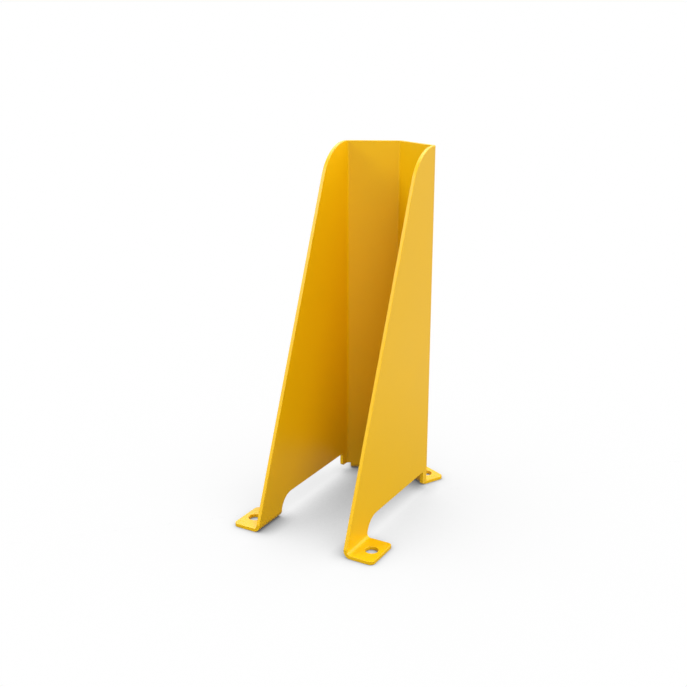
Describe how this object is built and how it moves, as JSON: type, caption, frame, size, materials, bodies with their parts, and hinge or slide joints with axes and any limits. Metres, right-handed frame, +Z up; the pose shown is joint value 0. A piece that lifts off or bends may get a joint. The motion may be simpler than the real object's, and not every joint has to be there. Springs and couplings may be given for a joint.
{
  "type": "rack column guard",
  "caption": "Folded steel guard for the foot of a rack column: tall side walls with slanted front edges, a pointed nose, and turned-out feet with holes for floor anchors.",
  "frame": {"origin": "middle of the footprint, on the floor", "axes": "+Z up; +Y towards the nose, which takes the knock; the open side, where the rack column enters, faces -Y; +X to the right when looking along +Y"},
  "size_m": [0.172, 0.2382, 0.4],
  "materials": {
    "powder_coat": "smooth semi-gloss yellow powder coat"
  },
  "bodies": {
    "root": {"column_guard": "powder_coat"}
  },
  "joints": []
}
